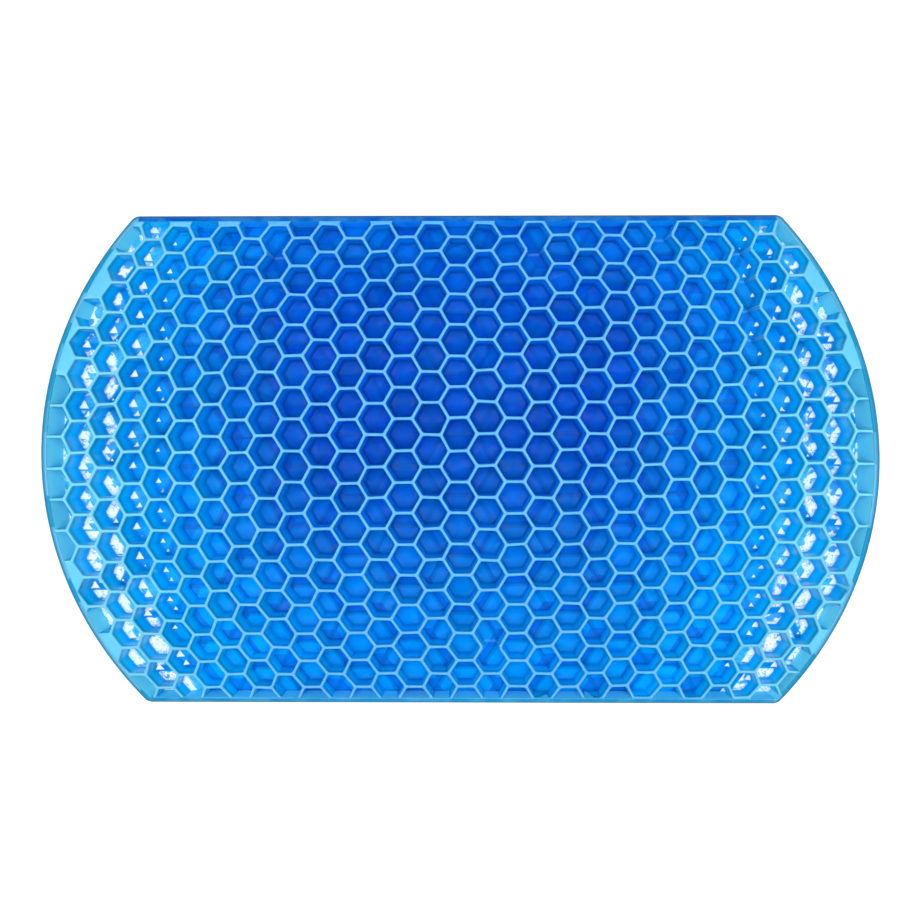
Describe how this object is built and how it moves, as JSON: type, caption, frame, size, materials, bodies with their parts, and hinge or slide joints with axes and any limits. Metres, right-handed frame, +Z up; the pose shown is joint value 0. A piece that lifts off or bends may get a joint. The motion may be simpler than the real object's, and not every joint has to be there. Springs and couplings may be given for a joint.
{
  "type": "gel seat cushion",
  "caption": "Barrel-shaped seat cushion of translucent blue gel: open honeycomb cells over larger cells, crowned top, flat underside, no cover.",
  "frame": {"origin": "on the resting surface, under the middle of the cushion", "axes": "+X along the long side, +Y towards the back straight edge, +Z up through the thickness"},
  "size_m": [0.422, 0.264, 0.048],
  "materials": {
    "upper_gel": "translucent glossy gel",
    "lower_gel": "translucent glossy gel",
    "edge_gel": "translucent glossy gel"
  },
  "bodies": {
    "root": {"upper_honeycomb": "upper_gel", "lower_honeycomb": "lower_gel", "back_edge_wall": "edge_gel", "front_edge_wall": "edge_gel", "left_end_wall": "edge_gel", "right_end_wall": "edge_gel"}
  },
  "joints": []
}
